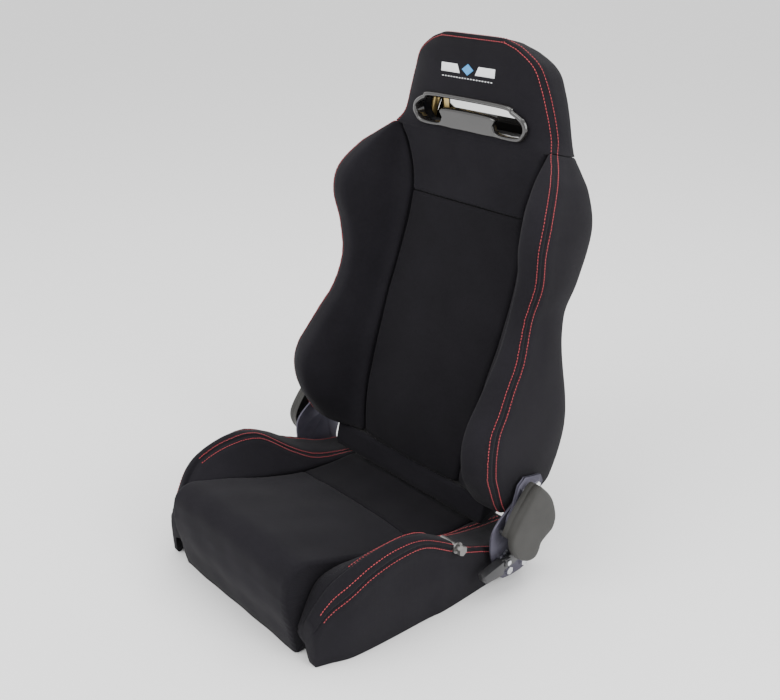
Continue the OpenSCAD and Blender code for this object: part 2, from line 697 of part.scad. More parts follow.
// Moves children to where the slot comes out of the back of the head
module on_slot_rear() {
    on_back() translate([0, -at(rear_n, slot_rear_s), slot_rear_s]) rotate([slot_rear_tilt, 0, 0]) children();
}
module harness_bezel_rear() {
    color(gloss_col) on_slot_rear() difference() {
        face_plate(2.8, 3) polygon(drawn_in(both_halves(bezel_half), [0, 0], 1.08));
        face_plate(1, 6) polygon(both_halves(rear_opening_half));
    }
}
module bezel_screws() {
    color(bright_col) on_slot_rear() for (x = [-84, 84]) translate([x, 5.8, 26]) rotate([-90, 0, 0])
        difference() {
            cylinder(h = 1.6, r = 3.2);
            translate([0, 0, 0.8]) cylinder(h = 2, r = 1.6, $fn = 6);
        }
}

side_rail_left();
side_rail_right();
front_cross_tube();
rear_cross_tube();
cushion_springs();
slider_weld_nuts();
cushion_front_pad();
cushion_rear_pad();
rear_skirt();
thigh_bolster_left();
thigh_bolster_right();
buckle_stud();
buckle_stud_collar();
recliner_plate_left();
recliner_plate_right();
plate_spacers();
plate_bolts();
pivot_stud_left();
pivot_stud_right();
pivot_nuts();
return_spring_left();
return_spring_right();
lever_return_spring();
recliner_cover_left();
recliner_cover_right();
cover_posts();
recline_lever();
release_shaft();
lock_pawl_left();
lock_pawl_right();
back_frame_hoop();
back_cross_tubes();
lumbar_springs();
harness_guide_rod();
recliner_arm_left();
recliner_arm_right();
arm_spacers();
arm_bolts();
back_insert_pad();
back_lower_roll();
upper_back_pad();
head_pad();
back_wing_left();
back_wing_right();
back_rear_cover();
harness_bezel_front();
harness_bezel_rear();
bezel_screws();
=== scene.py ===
"""Reclining sport seat: sewn covers, stitching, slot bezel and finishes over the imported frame.

Lengths are in millimetres while a shape is worked out, and in metres once it is in a mesh.
"""
import json
import math

import bmesh
import bpy
import numpy as np
from mathutils import Matrix, Vector
from mathutils.bvhtree import BVHTree


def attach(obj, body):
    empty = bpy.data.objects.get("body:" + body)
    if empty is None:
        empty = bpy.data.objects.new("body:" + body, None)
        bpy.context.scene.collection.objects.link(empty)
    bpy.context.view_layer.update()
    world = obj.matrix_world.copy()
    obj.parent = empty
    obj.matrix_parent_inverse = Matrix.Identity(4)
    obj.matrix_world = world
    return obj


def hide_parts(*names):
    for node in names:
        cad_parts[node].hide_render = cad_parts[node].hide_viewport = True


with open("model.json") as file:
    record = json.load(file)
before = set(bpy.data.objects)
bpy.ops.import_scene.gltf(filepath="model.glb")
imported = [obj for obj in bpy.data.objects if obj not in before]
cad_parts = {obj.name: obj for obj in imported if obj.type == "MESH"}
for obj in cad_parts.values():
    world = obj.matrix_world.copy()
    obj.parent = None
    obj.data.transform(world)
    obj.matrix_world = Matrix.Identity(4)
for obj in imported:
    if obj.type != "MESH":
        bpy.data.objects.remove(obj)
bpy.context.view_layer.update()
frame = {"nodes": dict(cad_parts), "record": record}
nodes = frame["nodes"]

# ---- Profiles of the seat: [station, value], the frame's own but for the top of HOLLOW ----

SEAM_X = [[0, 248], [57, 253], [118, 256], [181, 250], [225, 243], [328, 229], [392, 241],
          [446, 249], [494, 247], [544, 225], [569, 205], [600, 180], [655, 160], [689, 147],
          [721, 130], [743, 97], [752, 70]]
SEAM_N = [[0, 20], [20, 40], [57, 67], [80, 82], [118, 94], [153, 94], [181, 83], [225, 67],
          [267, 50], [328, 45], [392, 53], [446, 74], [494, 74], [544, 50], [569, 30], [600, 10],
          [617, 6], [655, 14], [689, 24], [721, 37], [752, 50]]
CREST_X = [[0, 205], [118, 211], [225, 205], [328, 200], [446, 215], [494, 212], [544, 196], [592, 178]]
CREST_N = [[0, 34], [20, 56], [57, 92], [90, 110], [118, 117], [150, 113], [185, 98], [225, 80],
           [267, 61], [328, 53], [392, 62], [446, 85], [494, 85], [544, 59], [592, 18]]
INNER_X = [[0, 124], [120, 134], [269, 141], [385, 139], [478, 131], [520, 138], [560, 153], [592, 170]]
INNER_N = [[0, 7], [60, 13], [130, 13], [269, -2], [385, -14], [478, -8], [540, 0], [601, 14],
           [655, 35], [700, 45], [752, 51]]
REAR_N = [[0, -100], [50, -106], [127, -103], [203, -85], [277, -68], [347, -61], [450, -58],
          [520, -56], [620, -48], [690, -40], [730, -28], [752, -6]]
HOLLOW = [[0, 34], [700, 34], [730, 16], [742, 3], [752, 1]]

PAD_TOP = [[-327, 106], [-323, 134], [-312, 149], [-296, 155], [-281, 154], [-248, 143], [-208, 129],
           [-125, 98], [-34, 75], [21, 68], [74, 67], [110, 60], [148, 52]]
BOLSTER_EDGE_Z = [[-306, 56], [-290, 92], [-270, 120], [-240, 128], [-208, 124], [-125, 97],
                  [-34, 75], [21, 68], [74, 66], [148, 51]]
BOLSTER_IN_X = [[-306, 178], [-270, 196], [-234, 208], [-107, 210], [-50, 192], [0, 178], [148, 176]]
BOLSTER_IN_Z = [[-306, 74], [-290, 104], [-270, 133], [-234, 156], [-170, 166], [-107, 156],
                [-50, 112], [0, 84], [60, 68], [148, 52]]
BOLSTER_CREST_Z = [[-306, 84], [-290, 112], [-270, 141], [-237, 162], [-190, 173], [-150, 172],
                   [-106, 159], [-70, 140], [-38, 117], [-3, 96], [60, 70], [148, 54]]
BOLSTER_SEAM_Z = [[-306, 70], [-288, 98], [-250, 128], [-212, 147], [-153, 157], [-110, 152],
                  [-37, 110], [11, 88], [60, 64], [148, 48]]
BASE_HALF_W = [[-306, 203], [-285, 211], [-256, 224], [-220, 230], [-160, 235], [-100, 240],
               [-69, 244], [93, 244], [148, 238]]

COVER_OUTLINE = [[90, 196], [110, 183], [130, 157], [142, 121], [137, 98], [120, 88], [106, 79],
                 [101, 65], [91, 55], [72, 58], [49, 74], [33, 97], [29, 121], [40, 144], [63, 172]]
BEZEL_HALF = [[78, 29], [104, 21], [123, 10], [130, -4], [127, -17], [113, -29]]
OPENING_HALF = [[74, 21], [98, 14], [115, 5], [121, -4], [118, -15], [106, -22], [68, -22],
                [59, -10], [55, 4]]

LEAN = math.radians(14)
WING_TOP = 592
HEAD_TOP = 752
SLOT_S = 628
SLOT_TILT = math.radians(21)


def smooth(keys, t):
    """Cubic between the keys, with the slope at each key taken from its two neighbours."""
    x, v = np.array(keys, float).T
    i = np.arange(len(x))
    lo, hi = np.maximum(i - 1, 0), np.minimum(i + 1, len(x) - 1)
    slope = (v[hi] - v[lo]) / (x[hi] - x[lo])
    t = np.clip(np.asarray(t, float), x[0], x[-1])
    i = np.clip(np.searchsorted(x, t, side="right") - 1, 0, len(x) - 2)
    h = x[i + 1] - x[i]
    u = (t - x[i]) / h
    return (v[i] * (1 + 2 * u) * (1 - u) ** 2 + v[i + 1] * u**2 * (3 - 2 * u)
            + h * slope[i] * u * (1 - u) ** 2 - h * slope[i + 1] * u**2 * (1 - u))


def on_back(x, n, s):
    """Seat place of a point x across, n forward of the hinge line and s up the backrest."""
    y = 85 - n * math.cos(LEAN) + s * math.sin(LEAN)
    z = 125 + n * math.sin(LEAN) + s * math.cos(LEAN)
    return np.stack(np.broadcast_arrays(x, y, z), -1)


def on_slot(x, height, depth):
    """Seat place of a point in the slot's own plane: x across, height up the face, depth into the head."""
    n0 = smooth(INNER_N, SLOT_S)
    n = n0 - depth * math.cos(SLOT_TILT) + height * math.sin(SLOT_TILT)
    s = SLOT_S + depth * math.sin(SLOT_TILT) + height * math.cos(SLOT_TILT)
    return on_back(x, n, s)


def crowded(count, pull=0.85):
    """count + 1 shares from 0 to 1, closer together at both ends."""
    t = np.linspace(0, 1, count + 1)
    return t - pull * np.sin(2 * np.pi * t) / (2 * np.pi)


def through(points, steps=10):
    """Curve through control points, each an array over the stations: cubic with neighbour slopes."""
    p = np.stack(points)
    p = np.concatenate([2 * p[:1] - p[1:2], p, 2 * p[-1:] - p[-2:-1]])
    u = (np.arange(steps) / steps)[:, None, None, None]
    a, b, c, d = p[:-3], p[1:-2], p[2:-1], p[3:]
    q = 0.5 * (2 * b + (c - a) * u + (2 * a - 5 * b + 4 * c - d) * u**2 + (3 * b - a - 3 * c + d) * u**3)
    q = q.transpose(1, 0, 2, 3).reshape(-1, *p.shape[1:])
    return np.concatenate([q, p[-2:-1]])


def along(curve, shares):
    """Points at the given shares of each station's curve length, and the distances from its start."""
    step = np.linalg.norm(np.diff(curve, axis=0), axis=-1)
    run = np.concatenate([np.zeros((1, curve.shape[1])), step.cumsum(0)])
    out = [[np.interp(shares * run[-1, j], run[:, j], curve[:, j, k]) for k in range(curve.shape[2])]
           for j in range(curve.shape[1])]
    return np.array(out).transpose(2, 0, 1), shares[:, None] * run[-1]


def pair(x, n):
    return np.stack(np.broadcast_arrays(np.asarray(x, float), np.asarray(n, float)), -1)


def leg(a, b, count):
    """Straight run of points after a, up to but not including b."""
    t = (np.arange(1, count + 1) / (count + 1))[:, None, None]
    return a + (b - a) * t


def outward(curve):
    """Unit normals in the section's plane, to the left of its run."""
    t = np.gradient(curve, axis=0)
    n = np.stack([-t[..., 1], t[..., 0]], -1)
    return n / np.maximum(np.linalg.norm(n, axis=-1, keepdims=True), 1e-9)


def rolled(d, radius, depth):
    """How far a rounded edge falls away at distance d from it."""
    u = np.clip(d / radius, 0, 1)
    return depth * (1 - np.sqrt(np.maximum(0, 1 - (1 - u) ** 2)))


def sewn(d, depth=1.7, width=2.4):
    """Valley that a seam pulls into the foam, with the fabric swelling beside it."""
    return -depth * np.exp(-((d / width) ** 2)) + 0.7 * np.exp(-(((np.abs(d) - 15) / 9) ** 2))


def gathers(p, d, size=0.35):
    """Small puckers that die away from a seam, worked out from the place p and the distance d."""
    phase = p[..., 0] * 0.55 + p[..., 1] * 0.61 + p[..., 2] * 0.58
    drift = np.sin(p[..., 0] * 0.021 + 1.3) + np.sin(p[..., 2] * 0.027 + 0.4)
    return size * np.exp(-((d / 9) ** 2)) * np.sin(phase + 2.2 * drift)


def slack(p, size=0.5):
    """Slow waves of cloth lying over foam: a sum of sines in slanting directions."""
    waves = [(0.031, 0.012, 0.024, 0.3), (-0.018, 0.027, 0.034, 1.9), (0.047, -0.03, 0.011, 2.7),
             (0.012, 0.05, -0.043, 0.9), (0.083, 0.021, 0.062, 4.1)]
    total = sum(np.sin(p[..., 0] * a + p[..., 1] * b + p[..., 2] * c + f) for a, b, c, f in waves)
    return size * total / 2.5


# ---- Finishes ----


class Wire:
    """One value in a material's nodes, that sums and products can be written with."""

    def __init__(self, tree, socket):
        self.tree = tree
        self.socket = socket

    def sum(self, operation, other, swap=False):
        node = self.tree.nodes.new("ShaderNodeMath")
        node.operation = operation
        values = (other, self) if swap else (self, other)
        for place, value in zip(node.inputs, values):
            if isinstance(value, Wire):
                self.tree.links.new(value.socket, place)
            else:
                place.default_value = value
        return Wire(self.tree, node.outputs[0])

    def __add__(self, other):
        return self.sum("ADD", other)

    def __radd__(self, other):
        return self.sum("ADD", other, True)

    def __sub__(self, other):
        return self.sum("SUBTRACT", other)

    def __rsub__(self, other):
        return self.sum("SUBTRACT", other, True)

    def __mul__(self, other):
        return self.sum("MULTIPLY", other)

    def __rmul__(self, other):
        return self.sum("MULTIPLY", other, True)


class Finish:
    """One material: node() adds a node of any type, and surface() closes it."""

    def __init__(self, name):
        self.material = bpy.data.materials.new(name)
        self.material.use_nodes = True
        self.tree = self.material.node_tree
        self.tree.nodes.clear()

    def put(self, place, value):
        if isinstance(value, Wire):
            self.tree.links.new(value.socket, place)
        elif value is not None:
            place.default_value = value

    def node(self, kind, settings=None, sockets=None, out=0):
        node = self.tree.nodes.new("ShaderNode" + kind)
        for name, value in (settings or {}).items():
            if name == "stops":
                ramp = node.color_ramp
                while len(ramp.elements) < len(value):
                    ramp.elements.new(0.5)
                for element, (place, colour) in zip(ramp.elements, value):
                    element.position = place
                    element.color = colour
            else:
                setattr(node, name, value)
        for name, value in (sockets or {}).items():
            self.put(node.inputs[name], value)
        return Wire(self.tree, node.outputs[out])

    def place(self, source="Object"):
        return self.node("TexCoord", out={"Object": 3, "UV": 2}[source])

    def noise(self, where, scale, detail=2.0, rough=0.5):
        return self.node("TexNoise", {}, {"Vector": where, "Scale": scale, "Detail": detail,
                                          "Roughness": rough})

    def bands(self, where, scale, direction="X", distortion=0.0):
        return self.node("TexWave", {"bands_direction": direction},
                         {"Vector": where, "Scale": scale, "Distortion": distortion}, out=1)

    def tint(self, share, first, second):
        return self.node("Mix", {"data_type": "RGBA"}, {0: share, 6: (*first, 1), 7: (*second, 1)}, out=2)

    def relief(self, height, distance, strength=1.0):
        return self.node("Bump", {}, {"Height": height, "Distance": distance, "Strength": strength})

    def surface(self, **sockets):
        names = {"colour": "Base Color", "rough": "Roughness", "metal": "Metallic", "coat": "Coat Weight",
                 "coat_rough": "Coat Roughness", "sheen": "Sheen Weight", "sheen_rough": "Sheen Roughness",
                 "normal": "Normal", "specular": "Specular IOR Level"}
        shader = self.tree.nodes.new("ShaderNodeBsdfPrincipled")
        for name, value in sockets.items():
            if isinstance(value, tuple) and len(value) == 3:
                value = (*value, 1)
            self.put(shader.inputs[names[name]], value)
        end = self.tree.nodes.new("ShaderNodeOutputMaterial")
        self.tree.links.new(shader.outputs[0], end.inputs[0])
        return self.material


def knit(name, dark, light, sheen=0.25):
    """Fine knitted cloth: ribs crossed by courses, with soft fading over a hand's width."""
    f = Finish(name)
    uv, here = f.place("UV"), f.place()
    ribs = f.bands(uv, 210, "X", 0.4)
    courses = f.bands(uv, 286, "Y", 0.6)
    loops = ribs * (0.55 + 0.45 * courses)
    fuzz = f.noise(here, 900, 3.0, 0.7)
    fade = f.noise(here, 9, 3.0, 0.55)
    lint = f.noise(here, 160, 2.0, 0.6)
    share = (fade - 0.35) * 0.7 + (loops - 0.4) * 0.35 + (lint - 0.5) * 0.3 + 0.25
    return f.surface(colour=f.tint(share, dark, light), rough=0.86 + 0.1 * fuzz, sheen=sheen,
                     sheen_rough=0.45, specular=0.12, normal=f.relief(loops * 0.7 + fuzz * 0.5, 0.00035, 0.9))


def satin_thread(name, colour, spacing=1100):
    """Twisted sewing thread: slanting strands, worn paler on top."""
    f = Finish(name)
    here = f.place()
    strands = f.bands(here, spacing, "DIAGONAL", 0.5)
    wear = f.noise(here, 120, 2.0)
    pale = tuple(min(1, 1.35 * c + 0.02) for c in colour)
    return f.surface(colour=f.tint(wear * 0.6 + strands * 0.3, colour, pale), rough=0.45 + 0.2 * wear,
                     sheen=0.2, normal=f.relief(strands, 0.0002, 0.7))


def moulded(name, dark, light, rough, grain=0.0002, scale=700, coat=0.0):
    """Moulded plastic: fine pebble grain, with rubbed patches that shine a little more."""
    f = Finish(name)
    here = f.place()
    pebble = f.node("TexVoronoi", {}, {"Vector": here, "Scale": scale})
    rubbed = f.noise(here, 22, 4.0, 0.6)
    return f.surface(colour=f.tint(rubbed, dark, light), rough=rough - 0.12 * rubbed + 0.06 * pebble,
                     specular=0.3, coat=coat, coat_rough=0.08, normal=f.relief(pebble, grain, 0.5))


def metal(name, dark, light, rough, brushed="X", scale=240, metallic=1.0, coat=0.0):
    """Metal: drawn marks along one way, dulled in patches."""
    f = Finish(name)
    here = f.place()
    drawn = {"X": (0.04, 1, 1), "Y": (1, 0.04, 1), "Z": (1, 1, 0.04)}[brushed]
    marks = f.noise(f.node("Mapping", {}, {"Vector": here, "Scale": drawn}), scale * 5, 3.0)
    dull = f.noise(here, 38, 3.0, 0.6)
    return f.surface(colour=f.tint(dull, dark, light), rough=rough + 0.16 * dull + 0.08 * marks,
                     metal=metallic, coat=coat, coat_rough=0.15, normal=f.relief(marks, 0.00006, 0.5))


def gloss_black(name):
    """Polished black plastic with a clear top coat, faintly hazed by handling."""
    f = Finish(name)
    here = f.place()
    haze = f.noise(here, 30, 4.0, 0.6)
    ripple = f.noise(here, 55, 1.0)
    return f.surface(colour=f.tint(haze, (0.011, 0.0105, 0.011), (0.022, 0.020, 0.019)),
                     rough=0.14 + 0.14 * haze,
                     coat=0.7 + 0.2 * haze, coat_rough=0.05, normal=f.relief(ripple, 0.0002, 0.4))


cloth_main = knit("knit_cloth_main", (0.0062, 0.0056, 0.0074), (0.0165, 0.0152, 0.0192), 0.03)
cloth_centre = knit("knit_cloth_centre", (0.0048, 0.0044, 0.0056), (0.0130, 0.0118, 0.0150), 0.02)
cloth_rear = knit("backing_cloth", (0.007, 0.0065, 0.007), (0.018, 0.017, 0.018), 0.02)
thread_red = satin_thread("red_thread", (0.42, 0.022, 0.030))
thread_white = satin_thread("white_thread", (0.72, 0.74, 0.76), 900)
thread_blue = satin_thread("blue_thread", (0.02, 0.24, 0.55), 900)
bezel_black = gloss_black("gloss_black_bezel")
cover_grey = moulded("grained_grey_plastic", (0.020, 0.0195, 0.018), (0.034, 0.033, 0.030), 0.58)
lever_black = moulded("satin_black_lever", (0.016, 0.016, 0.017), (0.030, 0.030, 0.032), 0.34, 0.0001,
                      900, 0.2)
violet_steel = metal("violet_grey_steel", (0.055, 0.052, 0.075), (0.10, 0.095, 0.125), 0.42, "Z",
                     metallic=0.6)
black_steel = metal("black_painted_steel", (0.020, 0.020, 0.022), (0.036, 0.036, 0.040), 0.42, "Y",
                    metallic=0.2, coat=0.2)
zinc_gold = metal("yellow_zinc", (0.52, 0.36, 0.12), (0.78, 0.62, 0.30), 0.26, "X")
bright_steel = metal("bright_steel", (0.62, 0.63, 0.65), (0.80, 0.81, 0.83), 0.14, "X")
dull_zinc = metal("dull_zinc", (0.16, 0.155, 0.15), (0.27, 0.265, 0.26), 0.38, "X")
spring_steel = metal("spring_wire", (0.24, 0.24, 0.25), (0.42, 0.42, 0.43), 0.32, "Y")

BY_SLOT = {"frame_steel": black_steel, "recliner_steel": violet_steel, "zinc_frame": zinc_gold,
           "bright_steel": bright_steel, "spring_wire": spring_steel, "cover_plastic": cover_grey,
           "lever_plastic": lever_black, "bezel_plastic": bezel_black, "fabric_main": cloth_main,
           "fabric_centre": cloth_centre, "fabric_rear": cloth_rear}
for part in frame["record"]["subparts"]:
    node = nodes[part["node"]]
    node.data.materials.clear()
    node.data.materials.append(BY_SLOT[part["material_slot"]])
for name in ("buckle_stud", "buckle_stud_collar"):
    nodes[name].data.materials[0] = dull_zinc


# ---- Making pieces ----


def finished(obj, body, finish, slot, replaced=()):
    """Gives a new piece its finish, its body and its standing for CAD nodes."""
    obj.data.materials.clear()
    obj.data.materials.append(finish)
    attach(obj, body)
    if replaced:
        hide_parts(*replaced)
    return obj


def from_arrays(name, verts, faces, uvs=None):
    """Object of a list of face arrays, each (count, corners), over verts in millimetres."""
    corners = np.concatenate([f.ravel() for f in faces])
    sizes = np.concatenate([np.full(len(f), f.shape[1]) for f in faces])
    mesh = bpy.data.meshes.new(name)
    mesh.vertices.add(len(verts))
    mesh.vertices.foreach_set("co", (np.asarray(verts, float) * 0.001).ravel())
    mesh.loops.add(len(corners))
    mesh.loops.foreach_set("vertex_index", corners.astype(np.int32))
    mesh.polygons.add(len(sizes))
    mesh.polygons.foreach_set("loop_start", np.concatenate([[0], sizes.cumsum()[:-1]]).astype(np.int32))
    mesh.update(calc_edges=True)
    if uvs is not None:
        layer = mesh.uv_layers.new(name="cloth")
        layer.uv.foreach_set("vector", np.concatenate([u.reshape(-1, 2) for u in uvs]).ravel())
    mesh.polygons.foreach_set("use_smooth", np.ones(len(sizes), bool))
    mesh.validate()
    obj = bpy.data.objects.new(name, mesh)
    bpy.context.scene.collection.objects.link(obj)
    return obj


def turned_out(obj, merge=0.0):
    """Merges doubles if asked, and turns every face outwards."""
    bm = bmesh.new()
    bm.from_mesh(obj.data)
    if merge:
        bmesh.ops.remove_doubles(bm, verts=bm.verts, dist=merge)
    bmesh.ops.recalc_face_normals(bm, faces=bm.faces)
    if bm.calc_volume(signed=True) < 0:
        bmesh.ops.reverse_faces(bm, faces=bm.faces)
    bm.to_mesh(obj.data)
    bm.free()
    obj.data.update()
    return obj


def shell(name, rows):
    """Closed skin through rows of points, each row a ring round the piece; each end closes to a pole.
    Its UV map is the length in metres along the ring and along the piece."""
    rows = np.asarray(rows, float)
    count, around = rows.shape[:2]
    verts = np.concatenate([rows.reshape(-1, 3), rows[:1].mean(1), rows[-1:].mean(1)])
    wrap = np.concatenate([rows, rows[:, :1]], 1)
    u = np.concatenate([np.zeros((count, 1)), np.linalg.norm(np.diff(wrap, axis=1), axis=-1).cumsum(1)], 1)
    v = np.concatenate([np.zeros((1, around + 1)), np.linalg.norm(np.diff(wrap, axis=0), axis=-1).cumsum(0)])
    flat = np.stack([u - u[:, -1:] / 2, v], -1) * 0.001
    r, c = np.meshgrid(np.arange(count - 1), np.arange(around), indexing="ij")
    d = (c + 1) % around
    quads = np.stack([r * around + c, r * around + d, (r + 1) * around + d, (r + 1) * around + c], -1)
    quad_uv = np.stack([flat[r, c], flat[r, c + 1], flat[r + 1, c + 1], flat[r + 1, c]], -2)
    k = np.arange(around)
    low = np.stack([np.full(around, count * around), (k + 1) % around, k], -1)
    last = (count - 1) * around
    high = np.stack([np.full(around, count * around + 1), last + k, last + (k + 1) % around], -1)
    cap_uv = [np.stack([flat[e, k], flat[e, k + 1], flat[e, k]], -2) for e in (0, -1)]
    tris = np.concatenate([low, high])
    return turned_out(from_arrays(name, verts, [quads.reshape(-1, 4), tris],
                                  [quad_uv.reshape(-1, 2), np.concatenate(cap_uv).reshape(-1, 2)]))


def domed(row, towards, push, count=6):
    """Rows that carry an end ring in to a point near its middle, along a quarter ellipse."""
    a = (np.arange(1, count + 1) / (count + 0.3) * np.pi / 2)[:, None, None]
    return towards + (row - towards) * np.cos(a) + np.asarray(push, float) * np.sin(a)


def applied(obj):
    """Replaces the mesh with what its modifiers make of it."""
    bpy.context.view_layer.update()
    result = bpy.data.meshes.new_from_object(obj.evaluated_get(bpy.context.evaluated_depsgraph_get()))
    obj.modifiers.clear()
    obj.data = result
    return obj


def cut(obj, tool):
    """Takes the tool's volume out of the piece and removes the tool."""
    change = obj.modifiers.new("cut", "BOOLEAN")
    change.operation = "DIFFERENCE"
    change.solver = "EXACT"
    change.object = tool
    change.use_self = True
    change.use_hole_tolerant = True
    applied(obj)
    bpy.data.objects.remove(tool)
    return obj


def prism(name, outline, place):
    """Closed bar with the given outline; place turns (outline, depth share 0 or 1) into seat points."""
    rows = np.stack([place(outline, 0), place(outline, 1)])
    count = len(outline)
    k = np.arange(count)
    walls = np.stack([k, (k + 1) % count, (k + 1) % count + count, k + count], -1)
    ends = np.stack([k, k + count])
    return turned_out(from_arrays(name, rows.reshape(-1, 3), [walls, ends]))


def softened(node_name, body, finish, slot, width, segments=3, angle=30):
    """Copy of a CAD node with its edges rounded, that stands for the node."""
    source = nodes[node_name]
    obj = bpy.data.objects.new(node_name + "_rounded", source.data.copy())
    bpy.context.scene.collection.objects.link(obj)
    bm = bmesh.new()
    bm.from_mesh(obj.data)
    bmesh.ops.remove_doubles(bm, verts=bm.verts, dist=1e-5)
    bmesh.ops.dissolve_limit(bm, angle_limit=math.radians(1.0), verts=bm.verts, edges=bm.edges)
    bm.to_mesh(obj.data)
    bm.free()
    change = obj.modifiers.new("edge", "BEVEL")
    change.width = width * 0.001
    change.segments = segments
    change.limit_method = "ANGLE"
    change.angle_limit = math.radians(angle)
    change.use_clamp_overlap = True
    change.harden_normals = False
    applied(obj)
    obj.data.polygons.foreach_set("use_smooth", np.ones(len(obj.data.polygons), bool))
    obj.data.set_sharp_from_angle(angle=math.radians(35))
    return finished(obj, body, finish, slot, [node_name])


def mirrored(points):
    """The same points on the other side of the seat."""
    return points * np.array([-1.0, 1.0, 1.0])


# ---- Backrest covers ----


def bottom_of(n):
    """Height along the back where the slanting underside cuts the foam at n."""
    return np.maximum(0, (7 - n) * math.tan(math.radians(24)))


def backrest_rows(x, n, s, top):
    """Puts sections given as (columns, stations) on the back, lifted clear of the slanting underside."""
    low = bottom_of(n)
    return on_back(x, n, low + s * (top - low) / top).transpose(1, 0, 2)


def wing_section(s):
    """Wing's section at stations s, from the centre panel over the crest and the stitched seam to the
    rear lip, then back inside; also the signed distance from the stitched seam and from the inner seam."""
    xi, ni = smooth(INNER_X, s) + 0.4, smooth(INNER_N, s)
    xc, nc = smooth(CREST_X, s), smooth(CREST_N, s)
    xs, ns, nr = smooth(SEAM_X, s), smooth(SEAM_N, s), smooth(REAR_N, s)
    depth, back, rise = ns - nr, nr + smooth(HOLLOW, s), nc - ni
    p = [pair(xi, ni), pair(xi + 0.3 * (xc - xi), ni + 0.22 * rise),
         pair(xi + 0.6 * (xc - xi), ni + 0.62 * rise), pair(xi + 0.85 * (xc - xi), ni + 0.92 * rise),
         pair(xc, nc), pair(0.55 * xc + 0.45 * xs, nc - 0.1 * (nc - ns)),
         pair(0.2 * xc + 0.8 * xs, nc - 0.5 * (nc - ns)), pair(xs, ns), pair(xs + 2, ns - 0.3 * depth),
         pair(xs + 2, ns - 0.6 * depth), pair(xs - 3, nr + 0.14 * depth), pair(xs - 14, nr + 3),
         pair(xs - 31.5, nr)]
    whole = through(p)
    front, d_front = along(whole[:71], crowded(72))
    side, d_side = along(whole[70:], crowded(56))
    outer = np.concatenate([front, side[1:]])
    d_seam = np.concatenate([d_front - d_front[-1], d_side[1:]])
    d_inner = np.concatenate([d_front, d_front[-1] + d_side[1:]])
    d_lip = np.concatenate([d_front - d_front[-1] - d_side[-1], d_side[1:] - d_side[-1]])
    place = on_back(outer[..., 0], outer[..., 1], s)
    swell = 2.5 * np.sin(np.pi * np.clip(d_seam / d_side[-1], 0, 1)) + sewn(d_seam) + gathers(place, d_seam)
    swell = swell + slack(place, 0.55) * np.clip(np.abs(d_seam) / 12, 0, 1)
    swell = swell - rolled(d_inner, 9, 6) - rolled(-d_lip, 5, 3)
    outer = outer + outward(outer) * swell[..., None]
    inside = [pair(xs - 31.5, nr + 4), pair(xs - 14, nr + 0.2 * depth), pair(xs - 14, back), pair(xi, back)]
    ring = [outer]
    for a, b in zip([p[-1]] + inside, inside + [pair(xi, ni - 8)]):
        ring.append(leg(a, b, 3))
        ring.append(b[None])
    return np.concatenate(ring), d_seam


def wing(side):
    s = WING_TOP * crowded(170, 0.7)
    ring, _ = wing_section(s)
    core = pair(0.5 * (smooth(INNER_X, s) + smooth(SEAM_X, s)), 0.5 * (smooth(SEAM_N, s) + smooth(REAR_N, s)))
    inwards = core - ring
    inwards = inwards / np.linalg.norm(inwards, axis=-1, keepdims=True)
    ring = ring + inwards * (rolled(s, 16, 11) + rolled(WING_TOP - s, 4, 2.5))[:, None]
    rows = backrest_rows(ring[..., 0], ring[..., 1], s, WING_TOP)
    if side < 0:
        rows = mirrored(rows)
    name = "left" if side > 0 else "right"
    return finished(shell(f"wing_cover_{name}", rows), "backrest", cloth_main, "fabric_main",
                    [f"back_wing_{name}"])


def centre_panel():
    """Centre panel: a crowned front whose edges turn in at the seams, and a flat back."""
    top = 477.6
    s = top * crowded(150, 0.8)
    k = 1 - 2 * crowded(90, 0.85)
    half, ni = smooth(INNER_X, s) - 0.3, smooth(INNER_N, s)
    x = k[:, None] * half
    n = ni + 9 * (1 - k[:, None] ** 2)
    place = on_back(x, n, s)
    n = n + slack(place, 0.7) - rolled(half - np.abs(x), 9, 6) - rolled(top - s, 8, 5) - rolled(s, 14, 9)
    n = n + gathers(place, half - np.abs(x), 0.25)
    back = smooth(REAR_N, s) + smooth(HOLLOW, s)
    front = pair(x, n)
    a, b = pair(-half, back), pair(half, back)
    ring = np.concatenate([front, leg(front[-1], a, 3), a[None], leg(a, b, 8), b[None], leg(b, front[0], 3)])
    rows = backrest_rows(ring[..., 0], ring[..., 1], s, top)
    return finished(shell("centre_panel_cover", rows), "backrest", cloth_centre, "fabric_centre",
                    ["back_insert_pad"])


def head_front(x, s):
    """How far forward the plain panel and the head's face stand at x and s."""
    xs, ns, ni = smooth(SEAM_X, s), smooth(SEAM_N, s), smooth(INNER_N, s)
    low = ni + 5 * (1 - np.clip(x / smooth(INNER_X, s), -1, 1) ** 2)
    high = ns + (ni + 4 - ns) * (1 - np.clip(np.abs(x) / xs, 0, 1) ** 5)
    w = np.clip((s - 560) / 50, 0, 1)
    w = w * w * (3 - 2 * w)
    return low + (high - low) * w


